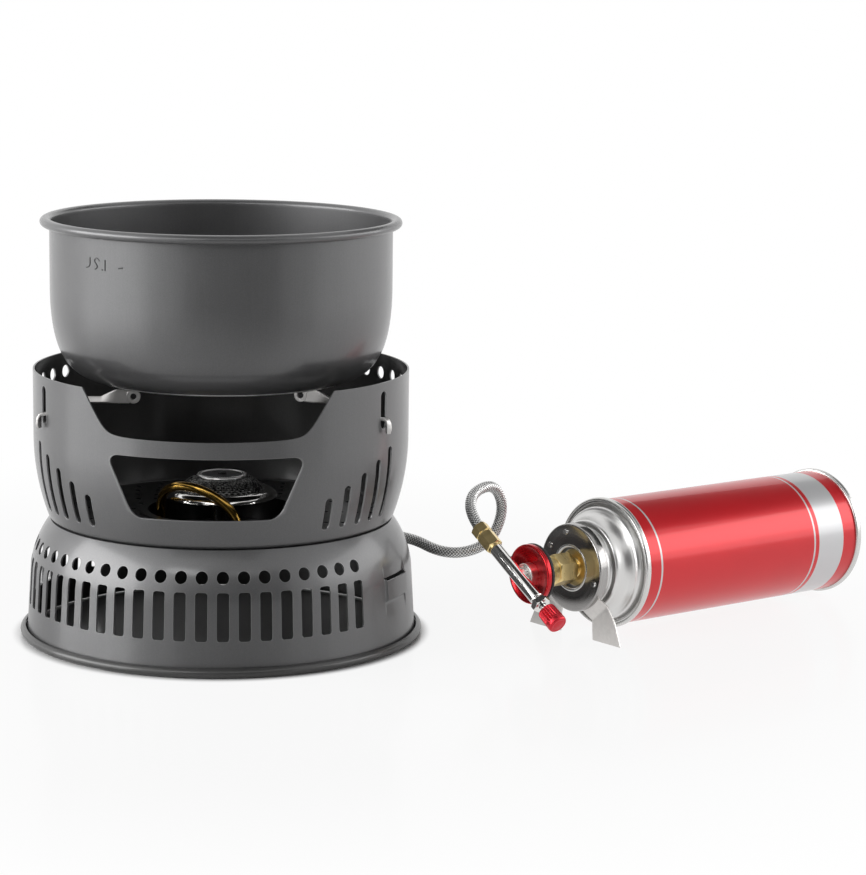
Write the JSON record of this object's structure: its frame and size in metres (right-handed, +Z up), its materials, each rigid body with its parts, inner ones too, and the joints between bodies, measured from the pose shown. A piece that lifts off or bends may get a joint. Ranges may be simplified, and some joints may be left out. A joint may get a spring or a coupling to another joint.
{
  "type": "portable gas stove",
  "caption": "Compact camping cook set: pot over a vented windscreen and base, hose-fed burner inside, valve and adapter on a lying gas can.",
  "frame": {"origin": "centre of the base ring's rest face, on the stove's axis at the floor", "axes": "+Z up along the stove's axis, -Y towards the windscreen's notch and window, +X towards the gas can"},
  "size_m": [0.4489, 0.2443, 0.2166],
  "materials": {
    "dark_aluminium": "matt hard-anodised",
    "stainless": "brushed",
    "chrome": "polished",
    "burner_steel": "bare",
    "brass": "turned",
    "braid": "woven wire",
    "red_anodised": "anodised",
    "gasket": "matt",
    "red_lacquer": "gloss lacquer",
    "tinplate": "bright"
  },
  "bodies": {
    "stove_base": {"base_shell": "dark_aluminium", "perforated_tray": "dark_aluminium", "burner_housing": "stainless", "mixing_tube": "chrome", "mixing_nut": "chrome", "burner_cup": "chrome", "burner_head": "burner_steel", "flame_ring": "chrome", "burner_cap": "burner_steel", "preheat_tube": "brass", "tube_unions": "brass", "jet_block": "brass", "burner_ferrule": "brass", "hose": "braid", "valve_ferrule": "brass", "valve_body": "chrome", "gland_nut": "chrome", "coupling_plug": "chrome", "coupling_disc": "red_anodised", "coupling_gasket": "gasket", "adapter_body": "brass", "stand_plate": "stainless", "plate_rivets": "stainless", "plate_washer": "stainless"},
    "windscreen": {"windscreen_shell": "dark_aluminium"},
    "pot": {"pot_shell": "dark_aluminium"},
    "support_left": {"pot_support_left": "stainless"},
    "support_right": {"pot_support_right": "stainless"},
    "support_rear": {"pot_support_rear": "stainless"},
    "knob": {"valve_spindle": "chrome", "control_knob": "red_anodised"},
    "can": {"can_body": "red_lacquer", "can_seam_front": "tinplate", "can_seam_rear": "tinplate", "can_dome": "tinplate", "can_stem": "tinplate", "can_bottom": "tinplate"}
  },
  "joints": [
    {"name": "windscreen_turn", "type": "hinge", "parent": "stove_base", "child": "windscreen", "pos_m": [0, 0, 0.061], "axis": [0, 0, 1], "continuous": true},
    {"name": "pot_lift", "type": "slide", "parent": "windscreen", "child": "pot", "axis": [0, 0, 1], "range_m": [0, 0.12]},
    {"name": "support_left_fold", "type": "hinge", "parent": "windscreen", "child": "support_left", "pos_m": [-0.08498, -0.04519, 0.1196], "axis": [-0.0349, 0.9994, 0], "range_deg": [0, 62]},
    {"name": "support_right_fold", "type": "hinge", "parent": "windscreen", "child": "support_right", "pos_m": [0.08498, -0.04519, 0.1196], "axis": [-0.3256, -0.9455, 0], "range_deg": [0, 62]},
    {"name": "support_rear_fold", "type": "hinge", "parent": "windscreen", "child": "support_rear", "pos_m": [0, 0.09625, 0.1196], "axis": [1, 0, 0], "range_deg": [0, 62]},
    {"name": "knob_turn", "type": "hinge", "parent": "stove_base", "child": "knob", "pos_m": [0.15444, -0.02947, 0.03737], "axis": [0.547, -0.6517, -0.5254], "range_deg": [0, 720]},
    {"name": "can_pull", "type": "slide", "parent": "stove_base", "child": "can", "axis": [0.7604, 0.6494, 0], "range_m": [0, 0.06]}
  ]
}
